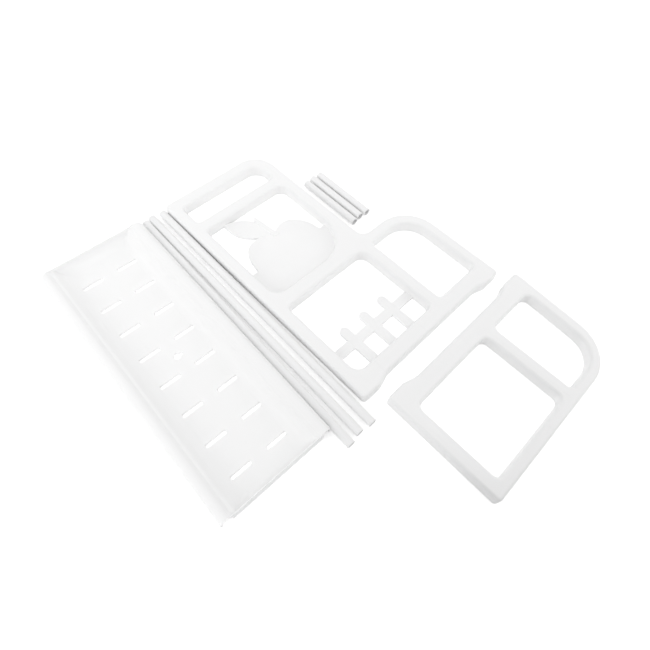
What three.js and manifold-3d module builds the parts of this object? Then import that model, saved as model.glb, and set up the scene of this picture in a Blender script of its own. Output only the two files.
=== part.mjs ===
// A two-tier spice rack taken apart and laid out flat on a table: a slotted tray with hooked sides,
// long and short coated tubes, a tall side panel for both tiers and a low side panel for the end bay.
// Millimetres, +Z up, +X along the tubes. The origin is under the middle of the layout.
// A panel is drawn standing, as (depth from its back edge, height from its feet), and then laid down.
import * as THREE from "three";
import { mergeVertices } from "three/addons/utils/BufferGeometryUtils.js";
import Module from "manifold-3d";

// Coated steel tubes
const TUBE_DIAMETER = 10;
const TUBE_WALL = 0.8;
const LONG_TUBE_LENGTH = 381;
const SHORT_TUBE_LENGTH = 94;

// Both side panels: open-backed mouldings with a rounded outer face
const PANEL_THICKNESS = 15;
const PANEL_WALL = 2.5;
const PANEL_EDGE_RADIUS = 3;
const CHANNEL_CHAMFER = 1;
const CORNER_RADIUS = 8;
const FOOT_LENGTH = 25;
const FOOT_BLEND = 22;
const FOOT_RISE = 5;
const FOOT_BLEND_RADIUS = 60;
const STEP_RADIUS = 48;
const WINDOW_RADIUS = 6;
const WINDOW_FRONT_RADIUS = 12;
const STEP_WINDOW_RADIUS = 34;

// Blind sockets for the tube ends, in bosses on the panels' inner faces
const SOCKET_CLEARANCE = 0.2;
const SOCKET_DEPTH = 12;
const BOSS_WALL = 2.3;

// Tall side panel
const TALL_HEIGHT = 360;
const UPPER_DEPTH = 157.5;
const LOWER_DEPTH = 242;
const STEP_HEIGHT = 153;
const STEP_FILLET = 12;
const TOP_FRONT_RADIUS = 32;
const TALL_BACK_BAR = 15.5;
const UPRIGHT_BAR = 17.2;
const TALL_FRONT_BAR = 15.5;
const TALL_FOOT_BAR = 26.3;
const STEP_BAR = 15.5;
const SHELF_BAR = 20.5;
const HANDLE_BAR = 17;
const HANDLE_OPENING = 34;
const TALL_TOP_BAR = 18;
const HANDLE_FRONT_RADIUS = 18;
const FRUIT_BACK_RADIUS = 16;
const FRUIT_FRONT_RADIUS = 48;
const FRONT_RAIL_HEIGHT = 75;

// Flat ornaments moulded across the tall panel's windows, level with its inner face
const ORNAMENT_THICKNESS = 3;
const ORNAMENT_ROOT = 1.5;
const FRUIT_SHOULDER = 48.5;
const FRUIT_LOBE = 88.5;
const FRUIT_DIP = 83;
const FRUIT_DIP_BACK = 71;
const FRUIT_BACK_NOTCH = 12;
const FRUIT_FRONT_NOTCH = 8;
const LEAF_TIP_BACK = 26;
const LEAF_BELLY = 15;
const STEM_LENGTH = 38;
const STEM_WIDTH = 7.5;
const PICKET_COUNT = 3;
const PICKET_WIDTH = 12.5;
const PICKET_PITCH = 32;
const PICKET_RISE = 16.3;
const RAIL_WIDTH = 12.5;
const RAIL_CLEARANCE = 25.2;

// Low side panel
const LOW_HEIGHT = 143.5;
const LOW_DEPTH = 240.5;
const LOW_FRONT_LEAN = 9;
const LOW_FRONT_RADIUS = 52;
const LOW_BACK_BAR = 17.2;
const LOW_UPRIGHT_BACK = 137.2;
const LOW_UPRIGHT_BAR = 17;
const LOW_FRONT_BAR = 14.8;
const LOW_FOOT_BAR = 27.7;
const LOW_TOP_BAR = 13.2;
const LOW_SOCKET_INSET = 40;

// Tray, which hangs on two tubes by its rolled sides
const TRAY_WIDTH = 132;
const TRAY_DEPTH = 17.5;
const TRAY_SHEET = 1.8;
const TRAY_FLOOR_WIDTH = 84;
const TRAY_END_CLEARANCE = 1;
const HOOK_CLEARANCE = 0.3;
const HOOK_MOUTH_HEIGHT = 4;
const END_LIP_HEIGHT = 16;
const SLOT_LENGTH = 26;
const SLOT_WIDTH = 4.5;
const SLOT_PITCH = 41;
const SLOT_COLUMN_GAP = 18.5;
const SLOT_END_MARGIN = 30;
const SLOT_GRID_OFFSET = 4;
const HOLE_DIAMETER = 8;
const HOLE_TAIL_WIDTH = 3.5;
const HOLE_TAIL_LENGTH = 7;

// Where the loose pieces lie round the tall panel: gaps to the neighbour, and small turns in degrees
const LONG_TUBE_PLACES = [
  { gap: 0.8, turn: -0.8, shift: 0.6 },
  { gap: 4.6, turn: -1.05, shift: -1.4 },
  { gap: 0.6, turn: -1.75, shift: 1 },
];
const SHORT_TUBE_PLACES = [
  { gap: 10.6, turn: -0.5, shift: 0.7 },
  { gap: 2.5, turn: -0.4, shift: -1 },
  { gap: 2.4, turn: -0.3, shift: 0 },
];
const SHORT_TUBE_CLEARANCE = 29;
const TRAY_GAP = 3.2;
const TRAY_TURN = -1.85;
const TRAY_INSET = 2.5;
const LOW_PANEL_GAP = 14.5;
const LOW_PANEL_SHIFT = 17.5;

// Fineness of the curves
const ARC_STEPS = 5;
const EDGE_STEPS = 3;
const TUBE_SIDES = 32;

const wasm = await Module();
wasm.setup();

// Solids: a closed three.js geometry becomes one that can be joined and cut, and the other way round.
function solidFrom(geometry) {
  const bare = geometry.index ? geometry.toNonIndexed() : geometry.clone();
  bare.deleteAttribute("normal");
  bare.deleteAttribute("uv");
  const welded = mergeVertices(bare);
  const vertProperties = welded.getAttribute("position").array;
  const triVerts = Uint32Array.from(welded.index.array);
  return new wasm.Manifold(new wasm.Mesh({ numProp: 3, vertProperties, triVerts }));
}

function geometryFrom(solid) {
  const { vertProperties, triVerts } = solid.getMesh();
  const geometry = new THREE.BufferGeometry();
  geometry.setAttribute("position", new THREE.BufferAttribute(vertProperties, 3));
  geometry.setIndex(new THREE.BufferAttribute(triVerts, 1));
  geometry.computeVertexNormals();
  return geometry;
}

function joined(solids) {
  return solids.reduce((whole, solid) => whole.add(solid));
}

// An upright slab of a flat outline, standing on the given height.
function slab(outline, base, height) {
  const settings = { depth: height, bevelEnabled: false, curveSegments: ARC_STEPS };
  return solidFrom(new THREE.ExtrudeGeometry(outline, settings).translate(0, 0, base));
}

function post(radius, x, y, base, height) {
  const geometry = new THREE.CylinderGeometry(radius, radius, height, TUBE_SIDES);
  geometry.rotateX(Math.PI / 2);
  return solidFrom(geometry.translate(x, y, base + height / 2));
}

// A closed outline through corners [x, y, radius], each rounded by an arc. Where two arcs would
// meet along an edge, both are drawn in until they share it.
function roundedOutline(corners) {
  const points = corners.map(([x, y]) => new THREE.Vector2(x, y));
  const count = points.length;
  const bends = points.map((point, i) => {
    const back = points[(i + count - 1) % count].clone().sub(point);
    const ahead = points[(i + 1) % count].clone().sub(point);
    const half = Math.abs(Math.atan2(back.cross(ahead), back.dot(ahead))) / 2;
    return { point, back, ahead, half, reach: corners[i][2] / Math.tan(half) };
  });
  const limit = (reach, other, edge) => Math.min(reach, (edge * reach) / (reach + other || 1));
  const outline = new THREE.Shape();
  bends.forEach(({ point, back, ahead, half, reach }, i) => {
    const before = bends[(i + count - 1) % count].reach;
    const after = bends[(i + 1) % count].reach;
    const taken = Math.min(limit(reach, before, back.length()), limit(reach, after, ahead.length()));
    const start = point.clone().addScaledVector(back.normalize(), taken);
    const end = point.clone().addScaledVector(ahead.normalize(), taken);
    const radius = taken * Math.tan(half);
    const middle = back.clone().add(ahead).normalize();
    const centre = point.clone().addScaledVector(middle, radius / Math.sin(half));
    const angle = (p) => Math.atan2(p.y - centre.y, p.x - centre.x);
    if (i === 0) outline.moveTo(start.x, start.y);
    else outline.lineTo(start.x, start.y);
    if (taken > 0) {
      const clockwise = back.cross(ahead) > 0;
      outline.absarc(centre.x, centre.y, radius, angle(start), angle(end), clockwise);
    }
  });
  outline.closePath();
  return outline;
}

// A slot with round ends along x.
function slotOutline(x, y, length, width) {
  const reach = (length - width) / 2;
  const outline = new THREE.Shape();
  outline.absarc(x + reach, y, width / 2, -Math.PI / 2, Math.PI / 2);
  outline.absarc(x - reach, y, width / 2, Math.PI / 2, 1.5 * Math.PI);
  outline.closePath();
  return outline;
}

// Side panels

// The foot edge: two flat feet with the edge between them swept up in a shallow arch.
function footCorners(depth) {
  const inner = FOOT_LENGTH + FOOT_BLEND;
  return [
    [0, 0, CORNER_RADIUS],
    [FOOT_LENGTH, 0, FOOT_BLEND_RADIUS],
    [inner, FOOT_RISE, FOOT_BLEND_RADIUS],
    [depth - inner, FOOT_RISE, FOOT_BLEND_RADIUS],
    [depth - FOOT_LENGTH, 0, FOOT_BLEND_RADIUS],
    [depth, 0, CORNER_RADIUS],
  ];
}

// A window from (back, low) to (front, high), with radii in the order of its four corners.
function windowCorners(back, low, front, high, radii) {
  const [lowBack, lowFront, highFront, highBack] = radii;
  return [
    [back, low, lowBack],
    [front, low, lowFront],
    [front, high, highFront],
    [back, high, highBack],
  ];
}

// Corners for one hand of panel, still in anticlockwise order.
function handed(corners, hand) {
  const turned = corners.map(([x, y, radius]) => [hand * x, y, radius]);
  return hand < 0 ? turned.reverse() : turned;
}

const BOSS_RADIUS = TUBE_DIAMETER / 2 + SOCKET_CLEARANCE + BOSS_WALL;
const SOCKET_RADIUS = TUBE_DIAMETER / 2 + SOCKET_CLEARANCE;

// A panel lying on its inner face: rounded on top, hollowed from below into channels, with a bored
// boss for each socket. hand is 1 for a right-hand panel and -1 for a left-hand one.
function panelSolid(corners, windows, sockets, hand) {
  const outline = roundedOutline(handed(corners, hand));
  outline.holes = windows.map((window) => roundedOutline(handed(window, hand)));
  const shell = new THREE.ExtrudeGeometry(outline, {
    depth: PANEL_THICKNESS - PANEL_EDGE_RADIUS,
    bevelThickness: PANEL_EDGE_RADIUS,
    bevelSize: PANEL_EDGE_RADIUS,
    bevelOffset: -PANEL_EDGE_RADIUS,
    bevelSegments: EDGE_STEPS,
    curveSegments: ARC_STEPS,
  });
  const channelHeight = PANEL_THICKNESS - PANEL_WALL;
  const channel = new THREE.ExtrudeGeometry(outline, {
    depth: channelHeight - CHANNEL_CHAMFER,
    bevelThickness: CHANNEL_CHAMFER,
    bevelSize: CHANNEL_CHAMFER,
    bevelOffset: -PANEL_WALL - CHANNEL_CHAMFER,
    bevelSegments: 1,
    curveSegments: ARC_STEPS,
  });
  const reach = 2 * Math.max(...corners.flatMap(([x, y]) => [x, y]));
  const table = new THREE.BoxGeometry(2 * reach, 2 * reach, PANEL_EDGE_RADIUS * 2);
  const below = solidFrom(table.translate(0, 0, -PANEL_EDGE_RADIUS));
  const bosses = sockets.map(([x, y]) => post(BOSS_RADIUS, hand * x, y, 0, PANEL_THICKNESS));
  const bores = sockets.map(([x, y]) => post(SOCKET_RADIUS, hand * x, y, 0, SOCKET_DEPTH));
  const hollow = solidFrom(channel).subtract(joined(bosses));
  return solidFrom(shell).subtract(below).subtract(hollow).subtract(joined(bores));
}

// Heights and depths shared by the tall panel's windows, ornaments and sockets
const TALL_WINDOW_FRONT = UPPER_DEPTH - UPRIGHT_BAR;
const LOWER_WINDOW_TOP = STEP_HEIGHT - STEP_BAR;
const FRUIT_WINDOW_BASE = LOWER_WINDOW_TOP + SHELF_BAR;
const HANDLE_WINDOW_TOP = TALL_HEIGHT - TALL_TOP_BAR;
const HANDLE_WINDOW_BASE = HANDLE_WINDOW_TOP - HANDLE_OPENING;
const FRUIT_WINDOW_TOP = HANDLE_WINDOW_BASE - HANDLE_BAR;
const HOOK_OUTER_RADIUS = TUBE_DIAMETER / 2 + HOOK_CLEARANCE + TRAY_SHEET;
const HOOK_OFFSET = TRAY_WIDTH / 2 - HOOK_OUTER_RADIUS;

function tallWindows() {
  const small = WINDOW_RADIUS;
  const back = TALL_BACK_BAR;
  const front = TALL_WINDOW_FRONT;
  const stepFront = LOWER_DEPTH - TALL_FRONT_BAR;
  const handleRadii = [small, small, HANDLE_FRONT_RADIUS, small];
  const fruitRadii = [FRUIT_BACK_RADIUS, FRUIT_FRONT_RADIUS, WINDOW_FRONT_RADIUS, small];
  const fenceRadii = [WINDOW_FRONT_RADIUS, small, WINDOW_FRONT_RADIUS, small];
  const stepRadii = [small, small, STEP_WINDOW_RADIUS, small];
  return [
    windowCorners(back, HANDLE_WINDOW_BASE, front, HANDLE_WINDOW_TOP, handleRadii),
    windowCorners(back, FRUIT_WINDOW_BASE, front, FRUIT_WINDOW_TOP, fruitRadii),
    windowCorners(back, TALL_FOOT_BAR, front, LOWER_WINDOW_TOP, fenceRadii),
    windowCorners(UPPER_DEPTH, TALL_FOOT_BAR, stepFront, LOWER_WINDOW_TOP, stepRadii),
  ];
}

// The fruit fills the lower part of its window: a notch beside each side bar, then two lobes with
// a dip between them, under a stem and a pointed leaf.
function fruitOutline() {
  const back = TALL_BACK_BAR - ORNAMENT_ROOT;
  const front = TALL_WINDOW_FRONT + ORNAMENT_ROOT;
  const base = FRUIT_WINDOW_BASE - ORNAMENT_ROOT;
  const backSide = TALL_BACK_BAR + FRUIT_BACK_NOTCH;
  const frontSide = TALL_WINDOW_FRONT - FRUIT_FRONT_NOTCH;
  const dip = TALL_BACK_BAR + FRUIT_DIP_BACK;
  const dipHeight = FRUIT_WINDOW_BASE + FRUIT_DIP;
  const shoulder = FRUIT_WINDOW_BASE + FRUIT_SHOULDER;
  const lobe = FRUIT_WINDOW_BASE + FRUIT_LOBE;
  const side = shoulder + (lobe - shoulder) * 0.6;
  const backLobe = (backSide + dip) / 2;
  const frontLobe = (2 * dip + frontSide) / 3;
  const outline = new THREE.Shape();
  outline.moveTo(back, base);
  outline.lineTo(front, base);
  outline.lineTo(front, shoulder);
  outline.lineTo(frontSide, shoulder);
  outline.bezierCurveTo(frontSide - 2, side, frontSide - 15, lobe, frontLobe, lobe);
  outline.quadraticCurveTo(frontLobe - 8, lobe, dip, dipHeight);
  outline.quadraticCurveTo((backLobe + dip) / 2, lobe, backLobe, lobe);
  outline.bezierCurveTo(backSide + 10, lobe, backSide + 2, side, backSide, shoulder);
  outline.lineTo(back, shoulder);
  outline.closePath();
  return outline;
}

function leafOutline() {
  const tip = new THREE.Vector2(TALL_BACK_BAR + LEAF_TIP_BACK, FRUIT_WINDOW_TOP + ORNAMENT_ROOT);
  const root = new THREE.Vector2(TALL_BACK_BAR + FRUIT_DIP_BACK - STEM_WIDTH, FRUIT_WINDOW_BASE + FRUIT_DIP);
  const along = root.clone().sub(tip);
  const side = new THREE.Vector2(-along.y, along.x).normalize().multiplyScalar(2 * LEAF_BELLY);
  const middle = tip.clone().add(root).multiplyScalar(0.5);
  const outline = new THREE.Shape();
  outline.moveTo(tip.x, tip.y);
  outline.quadraticCurveTo(middle.x + side.x, middle.y + side.y, root.x, root.y);
  outline.quadraticCurveTo(middle.x - side.x, middle.y - side.y, tip.x, tip.y);
  return outline;
}

function stemOutline() {
  const front = TALL_BACK_BAR + FRUIT_DIP_BACK;
  const back = front - STEM_WIDTH;
  const base = FRUIT_WINDOW_BASE + FRUIT_DIP;
  const top = base + STEM_LENGTH;
  const outline = new THREE.Shape();
  outline.moveTo(back, base - STEM_WIDTH);
  outline.lineTo(front, base - STEM_WIDTH);
  outline.lineTo(front, top - STEM_WIDTH);
  outline.lineTo(back + STEM_WIDTH / 4, top);
  outline.quadraticCurveTo(back - STEM_WIDTH / 8, (base + top) / 2, back, base - STEM_WIDTH);
  return outline;
}

// The picket rail across the lower window: round-topped pickets on the foot bar, with one rail.
function fenceOutlines() {
  const back = TALL_BACK_BAR - ORNAMENT_ROOT;
  const front = TALL_WINDOW_FRONT + ORNAMENT_ROOT;
  const railBase = TALL_FOOT_BAR + RAIL_CLEARANCE;
  const railTop = railBase + RAIL_WIDTH;
  const half = PICKET_WIDTH / 2;
  const rail = roundedOutline([
    [back, railBase, 0],
    [front, railBase, 0],
    [front, railTop, 0],
    [back, railTop, 0],
  ]);
  const pickets = Array.from({ length: PICKET_COUNT }, (_, i) => {
    const x = (back + front) / 2 + (i - (PICKET_COUNT - 1) / 2) * PICKET_PITCH;
    const picket = new THREE.Shape();
    picket.moveTo(x - half, TALL_FOOT_BAR - ORNAMENT_ROOT);
    picket.lineTo(x + half, TALL_FOOT_BAR - ORNAMENT_ROOT);
    picket.absarc(x, railTop + PICKET_RISE - half, half, 0, Math.PI);
    picket.closePath();
    return picket;
  });
  return [rail, ...pickets];
}

function tallPanel() {
  const corners = [
    ...footCorners(LOWER_DEPTH),
    [LOWER_DEPTH, STEP_HEIGHT, STEP_RADIUS],
    [UPPER_DEPTH, STEP_HEIGHT, STEP_FILLET],
    [UPPER_DEPTH, TALL_HEIGHT, TOP_FRONT_RADIUS],
    [0, TALL_HEIGHT, CORNER_RADIUS],
  ];
  const shelfHeight = LOWER_WINDOW_TOP + SHELF_BAR / 2;
  const sockets = [
    [UPPER_DEPTH / 2 - HOOK_OFFSET, shelfHeight],
    [UPPER_DEPTH / 2 + HOOK_OFFSET, shelfHeight],
    [LOWER_DEPTH - TALL_FRONT_BAR / 2, FRONT_RAIL_HEIGHT],
  ];
  const outlines = [fruitOutline(), leafOutline(), stemOutline(), ...fenceOutlines()];
  const ornaments = joined(outlines.map((outline) => slab(outline, 0, ORNAMENT_THICKNESS)));
  return panelSolid(corners, tallWindows(), sockets, 1).add(ornaments);
}

function lowPanel() {
  const corners = [
    ...footCorners(LOW_DEPTH),
    [LOW_DEPTH - LOW_FRONT_LEAN, LOW_HEIGHT, LOW_FRONT_RADIUS],
    [0, LOW_HEIGHT, CORNER_RADIUS],
  ];
  const top = LOW_HEIGHT - LOW_TOP_BAR;
  const frontAt = (height) => LOW_DEPTH - LOW_FRONT_BAR - (LOW_FRONT_LEAN * height) / LOW_HEIGHT;
  const uprightFront = LOW_UPRIGHT_BACK + LOW_UPRIGHT_BAR;
  const even = Array(4).fill(CORNER_RADIUS);
  const windows = [
    windowCorners(LOW_BACK_BAR, LOW_FOOT_BAR, LOW_UPRIGHT_BACK, top, even),
    [
      [uprightFront, LOW_FOOT_BAR, CORNER_RADIUS],
      [frontAt(LOW_FOOT_BAR), LOW_FOOT_BAR, CORNER_RADIUS],
      [frontAt(top), top, STEP_WINDOW_RADIUS],
      [uprightFront, top, WINDOW_RADIUS],
    ],
  ];
  const footMiddle = (FOOT_RISE + LOW_FOOT_BAR) / 2;
  const sockets = [
    [LOW_SOCKET_INSET, footMiddle],
    [LOW_DEPTH - LOW_SOCKET_INSET, footMiddle],
    [(LOW_UPRIGHT_BACK + uprightFront) / 2, LOW_HEIGHT - BOSS_RADIUS - PANEL_EDGE_RADIUS],
  ];
  return panelSolid(corners, windows, sockets, -1);
}

// Tubes: open at both ends, lying along x from their own end
function tubeGeometry(length) {
  const outer = TUBE_DIAMETER / 2;
  const inner = outer - TUBE_WALL;
  const profile = [
    [inner, 0],
    [outer, 0],
    [outer, length],
    [inner, length],
    [inner, 0],
  ];
  const points = profile.map(([radius, along]) => new THREE.Vector2(radius, along));
  const tube = new THREE.LatheGeometry(points, TUBE_SIDES);
  return tube.rotateZ(-Math.PI / 2).translate(0, 0, outer);
}

// Tray

const TRAY_LENGTH = LONG_TUBE_LENGTH - 2 * (SOCKET_DEPTH + TRAY_END_CLEARANCE);
const ROLL_HEIGHT = TRAY_DEPTH - HOOK_OUTER_RADIUS;

// The side wall rises from the floor's edge and runs tangent into the roll that hooks on a tube.
function wallSlope() {
  const run = HOOK_OFFSET - TRAY_FLOOR_WIDTH / 2;
  const rise = ROLL_HEIGHT - TRAY_SHEET;
  return Math.atan2(rise, run) + Math.asin(HOOK_OUTER_RADIUS / Math.hypot(run, rise));
}

function traySection() {
  const slope = wallSlope();
  const inner = HOOK_OUTER_RADIUS - TRAY_SHEET;
  const half = TRAY_FLOOR_WIDTH / 2;
  const rollStart = slope + Math.PI / 2;
  const floorUnder = half + TRAY_SHEET * Math.tan(slope / 2);
  const section = new THREE.Shape();
  section.moveTo(-half, TRAY_SHEET);
  section.lineTo(half, TRAY_SHEET);
  section.absarc(HOOK_OFFSET, ROLL_HEIGHT, HOOK_OUTER_RADIUS, rollStart, 0, true);
  section.lineTo(TRAY_WIDTH / 2, HOOK_MOUTH_HEIGHT);
  section.lineTo(TRAY_WIDTH / 2 - TRAY_SHEET, HOOK_MOUTH_HEIGHT);
  section.absarc(HOOK_OFFSET, ROLL_HEIGHT, inner, 0, rollStart, false);
  section.lineTo(floorUnder, 0);
  section.lineTo(-floorUnder, 0);
  section.absarc(-HOOK_OFFSET, ROLL_HEIGHT, inner, Math.PI - rollStart, Math.PI, false);
  section.lineTo(TRAY_SHEET - TRAY_WIDTH / 2, HOOK_MOUTH_HEIGHT);
  section.lineTo(-TRAY_WIDTH / 2, HOOK_MOUTH_HEIGHT);
  section.absarc(-HOOK_OFFSET, ROLL_HEIGHT, HOOK_OUTER_RADIUS, Math.PI, Math.PI - rollStart, true);
  section.closePath();
  return section;
}

// The end lip closes the trough between the side walls.
function lipSection() {
  const slope = wallSlope();
  const seat = TRAY_SHEET / 2;
  const half = TRAY_FLOOR_WIDTH / 2 + seat * Math.tan(slope / 2);
  const spread = (END_LIP_HEIGHT - seat) / Math.tan(slope);
  return roundedOutline([
    [-half, seat, 0],
    [half, seat, 0],
    [half + spread, END_LIP_HEIGHT, 0],
    [-half - spread, END_LIP_HEIGHT, 0],
  ]);
}

// A section drawn across the tray, run along x from start.
function alongTray(section, start, length) {
  const settings = { depth: length, bevelEnabled: false, curveSegments: ARC_STEPS };
  const geometry = new THREE.ExtrudeGeometry(section, settings);
  return solidFrom(geometry.rotateX(Math.PI / 2).rotateZ(Math.PI / 2).translate(start, 0, 0));
}

// Drain slots in two columns of rows across the floor, and one keyhole in the middle.
function trayCuts() {
  const rows = 1 + Math.floor((TRAY_LENGTH - 2 * SLOT_END_MARGIN) / SLOT_PITCH);
  const column = (SLOT_COLUMN_GAP + SLOT_LENGTH) / 2;
  const middle = TRAY_LENGTH / 2 + SLOT_GRID_OFFSET;
  const cuts = [];
  for (let row = 0; row < rows; row++) {
    const along = middle + (row - (rows - 1) / 2) * SLOT_PITCH;
    for (const across of [-column, column]) {
      cuts.push(slotOutline(across, -along, SLOT_LENGTH, SLOT_WIDTH));
    }
  }
  cuts.push(slotOutline(HOLE_TAIL_LENGTH / 2, -middle, HOLE_TAIL_LENGTH, HOLE_TAIL_WIDTH));
  const hole = new THREE.Shape();
  hole.absarc(0, -middle, HOLE_DIAMETER / 2, 0, 2 * Math.PI);
  cuts.push(hole);
  const depth = 3 * TRAY_SHEET;
  const solid = joined(cuts.map((outline) => slab(outline, -TRAY_SHEET, depth)));
  return solid.rotate([0, 0, 90]);
}

function tray() {
  const sheet = alongTray(traySection(), 0, TRAY_LENGTH);
  const lips = [0, TRAY_LENGTH - TRAY_SHEET].map((start) => alongTray(lipSection(), start, TRAY_SHEET));
  return joined([sheet, ...lips]).subtract(trayCuts());
}

// Finishes
const panelPlastic = new THREE.MeshStandardMaterial({ color: 0xf2f2f0, roughness: 0.42, metalness: 0 });
const trayPlastic = new THREE.MeshStandardMaterial({ color: 0xf3f3f2, roughness: 0.36, metalness: 0 });
const tubeCoating = new THREE.MeshStandardMaterial({ color: 0xefefee, roughness: 0.3, metalness: 0.1 });

function piece(name, geometry, material) {
  const mesh = new THREE.Mesh(geometry, material);
  mesh.name = name;
  return mesh;
}

// A mesh in a group turned by degrees about the point (x, y) on the table.
function laid(mesh, x, y, turn) {
  const place = new THREE.Group();
  place.position.set(x, y, 0);
  place.rotation.z = THREE.MathUtils.degToRad(turn);
  place.add(mesh);
  return place;
}

// The layout, measured from the tall panel's back foot: its top lies towards -x and its front to +y.
const rack = new THREE.Group();
rack.add(laid(piece("tall_side_panel", geometryFrom(tallPanel()), panelPlastic), 0, 0, 90));

// Long tubes lie behind the tall panel and fan out from their far ends.
let clearBack = 0;
LONG_TUBE_PLACES.forEach(({ gap, turn, shift }, i) => {
  const tube = piece(`long_tube_${i + 1}`, tubeGeometry(LONG_TUBE_LENGTH), tubeCoating);
  const y = clearBack - gap - TUBE_DIAMETER / 2;
  rack.add(laid(tube, shift - TALL_HEIGHT, y, turn));
  clearBack = y - TUBE_DIAMETER / 2;
});

// The tray lies beyond the last long tube, turned about its far corner.
const trayMesh = piece("slotted_tray", geometryFrom(tray()), trayPlastic);
trayMesh.position.y = -TRAY_WIDTH / 2;
rack.add(laid(trayMesh, TRAY_INSET - TALL_HEIGHT, clearBack - TRAY_GAP, TRAY_TURN));

// Short tubes lie side by side in the corner above the step, running back from their near ends.
let clearFront = UPPER_DEPTH;
SHORT_TUBE_PLACES.forEach(({ gap, turn, shift }, i) => {
  const tube = piece(`short_tube_${i + 1}`, tubeGeometry(SHORT_TUBE_LENGTH), tubeCoating);
  tube.position.x = -SHORT_TUBE_LENGTH;
  const y = clearFront + gap + TUBE_DIAMETER / 2;
  rack.add(laid(tube, shift - STEP_HEIGHT - SHORT_TUBE_CLEARANCE, y, turn));
  clearFront = y + TUBE_DIAMETER / 2;
});

// The low panel lies foot to foot with the tall one.
const lowMesh = piece("low_side_panel", geometryFrom(lowPanel()), panelPlastic);
rack.add(laid(lowMesh, LOW_PANEL_GAP, LOW_PANEL_SHIFT, -90));

const bounds = new THREE.Box3().setFromObject(rack, true);
const middle = bounds.getCenter(new THREE.Vector3());
rack.position.set(-middle.x, -middle.y, -bounds.min.z);

export default rack;
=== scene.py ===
import math

import bmesh
import bpy
from mathutils import Matrix, Vector
from mathutils.geometry import interpolate_bezier


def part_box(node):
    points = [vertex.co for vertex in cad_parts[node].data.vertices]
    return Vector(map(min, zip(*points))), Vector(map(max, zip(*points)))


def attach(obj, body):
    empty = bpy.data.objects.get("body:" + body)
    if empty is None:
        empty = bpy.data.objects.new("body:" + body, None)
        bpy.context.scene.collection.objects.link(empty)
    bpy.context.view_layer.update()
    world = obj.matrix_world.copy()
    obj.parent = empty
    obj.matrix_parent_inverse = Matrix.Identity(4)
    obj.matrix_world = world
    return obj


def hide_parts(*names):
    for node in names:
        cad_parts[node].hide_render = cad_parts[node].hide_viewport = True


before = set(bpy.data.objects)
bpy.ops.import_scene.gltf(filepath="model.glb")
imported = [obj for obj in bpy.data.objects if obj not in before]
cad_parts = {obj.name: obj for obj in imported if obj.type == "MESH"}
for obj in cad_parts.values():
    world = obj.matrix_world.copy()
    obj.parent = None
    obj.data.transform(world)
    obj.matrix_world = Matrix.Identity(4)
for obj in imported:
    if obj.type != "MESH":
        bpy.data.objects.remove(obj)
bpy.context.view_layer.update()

# Tall side panel
# The end frame of both tiers: one injection moulding in satin white plastic, lying on its open back.
# A hollow rounded rim frames four windows, and bored bosses under it take the tube ends as a push fit.

MM = 0.001
ARC_STEP = math.radians(7.5)

PANEL_WALL = 2.5
PANEL_DRAFT = 0.3
PANEL_EDGE = 3.5
PANEL_CROWN = math.radians(4)
PANEL_SHOULDER = 4.4
PANEL_FLAT_RING = 0.1
PANEL_RIM_ROUND = 0.4
CHANNEL_FILLET = 1.5
EDGE_STEPS = 8
FILLET_STEPS = 4
SMALL_STEPS = 3
CORNER = 4.8
FOOT_LENGTH = 25
FOOT_BLEND = 17
FOOT_RISE = 5
FOOT_BLEND_RADIUS = 20
STEP_WINDOW_RADIUS = 34
WINDOW_RADIUS = 6
WINDOW_FRONT_RADIUS = 12

SOCKET_RADIUS = 5.2
SOCKET_DEPTH = 12
SOCKET_LEAD_IN = 0.5
BORE_START = -0.2
BOSS_RADIUS = 7.1
BOSS_OVERLAP = 0.1
ROUND_SIDES = 48

UPPER_DEPTH = 157.5
STEP_HEIGHT = 153
STEP_RADIUS = 48
STEP_FILLET = 12
TOP_FRONT_RADIUS = 32
TALL_BACK_BAR = 15.5
UPRIGHT_BAR = 17.2
TALL_FRONT_BAR = 15.5
TALL_FOOT_BAR = 26.3
STEP_BAR = 15.5
SHELF_BAR = 20.5
HANDLE_BAR = 17
HANDLE_OPENING = 34
TALL_TOP_BAR = 18
HANDLE_FRONT_RADIUS = 18
FRUIT_BACK_RADIUS = 16
FRUIT_FRONT_RADIUS = 48
TRAY_HOOK_OFFSET = 58.9
FRONT_RAIL_HEIGHT = 75

tall_start, tall_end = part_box("tall_side_panel")
panel_thickness = (tall_end.z - tall_start.z) / MM
tall_height = (tall_end.x - tall_start.x) / MM
lower_depth = (tall_end.y - tall_start.y) / MM
channel_height = panel_thickness - PANEL_WALL
window_front = UPPER_DEPTH - UPRIGHT_BAR
lower_window_top = STEP_HEIGHT - STEP_BAR
fruit_base = lower_window_top + SHELF_BAR
handle_top = tall_height - TALL_TOP_BAR
handle_base = handle_top - HANDLE_OPENING
fruit_top = handle_base - HANDLE_BAR


def rounded_loop(corners):
    """Points of a closed outline through corners (x, y, radius), each drawn as an arc."""
    spots = [Vector(corner[:2]) for corner in corners]
    loop = []
    for i, corner in enumerate(corners):
        spot, radius = spots[i], corner[2]
        back = (spots[i - 1] - spot).normalized()
        ahead = (spots[(i + 1) % len(spots)] - spot).normalized()
        half = back.angle(ahead) / 2
        centre = spot + (back + ahead).normalized() * radius / math.sin(half)
        spoke = spot + back * radius / math.tan(half) - centre
        turn = math.copysign(math.pi - 2 * half, ahead.cross(back))
        steps = max(2, math.ceil(abs(turn) / ARC_STEP))
        loop += [centre + Matrix.Rotation(turn * step / steps, 2) @ spoke for step in range(steps + 1)]
    return loop


def window_loop(back, base, front, top, radii):
    """A window's outline, run clockwise so that the moulding lies to its left."""
    corners = [(back, base), (front, base), (front, top), (back, top)]
    rounded = [(*corner, radius) for corner, radius in zip(corners, radii)]
    return rounded_loop(rounded[::-1])


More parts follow.
